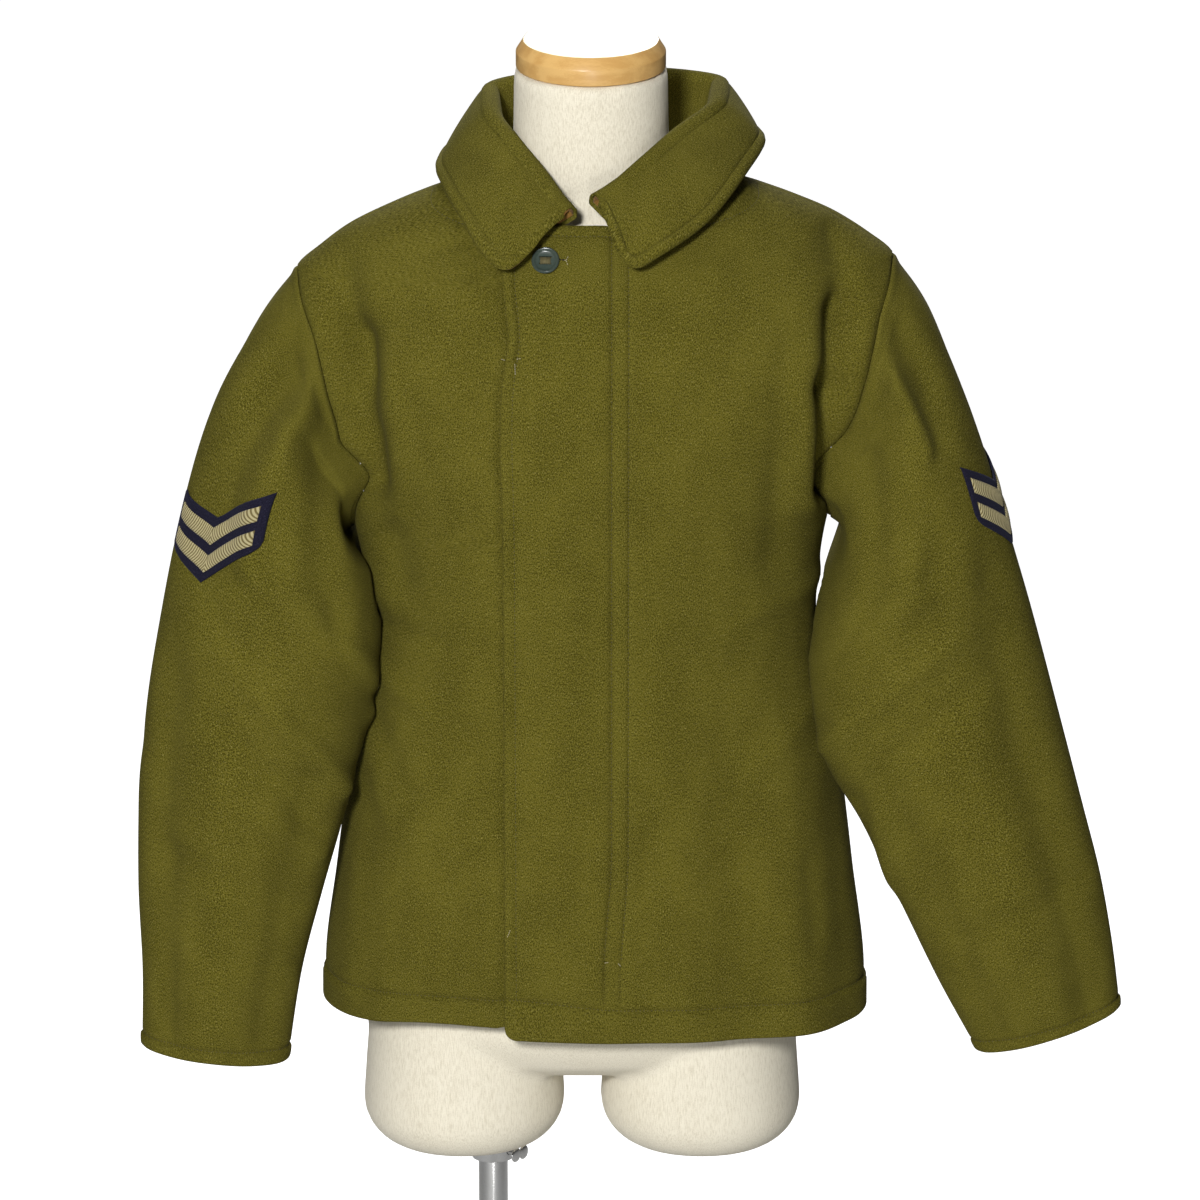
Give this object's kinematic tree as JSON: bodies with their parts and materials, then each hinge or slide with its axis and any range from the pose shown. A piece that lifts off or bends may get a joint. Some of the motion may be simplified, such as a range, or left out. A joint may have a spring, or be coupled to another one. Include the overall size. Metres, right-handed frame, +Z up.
{
  "type": "uniform jacket on a dress form with stand",
  "caption": "Firefighter's wool uniform jacket with turn-down collar and sleeve chevrons, worn by a limbless dress form on a pole stand with a round base.",
  "frame": {"origin": "centre of the base plate's underside, on the floor", "axes": "+Z up along the pole, -Y the way the jacket's front faces, +X the wearer's left"},
  "size_m": [0.7745, 0.4, 1.5519],
  "materials": {
    "wool": "napped melton weave",
    "melton": "brushed melton",
    "felt": "felt",
    "braid": "herringbone braid",
    "button_plastic": "satin",
    "jersey": "fine knitted cover",
    "birch": "clear varnish",
    "chrome": "polished"
  },
  "bodies": {
    "stand": {"base_plate": "chrome", "base_boss": "chrome", "pole": "chrome"},
    "form": {"back": "wool", "left_front": "wool", "right_front": "wool", "left_sleeve": "wool", "right_sleeve": "wool", "collar": "wool", "undercollar": "melton", "button": "button_plastic", "left_chevron_backing": "felt", "left_chevron_lower_bar": "braid", "left_chevron_upper_bar": "braid", "right_chevron_backing": "felt", "right_chevron_lower_bar": "braid", "right_chevron_upper_bar": "braid", "dress_form": "jersey", "neck_cap": "birch", "clamp_socket": "chrome", "wing_screw": "chrome"}
  },
  "joints": [
    {"name": "stand_height", "type": "slide", "parent": "stand", "child": "form", "axis": [0, 0, 1], "range_m": [-0.12, 0.12]}
  ]
}
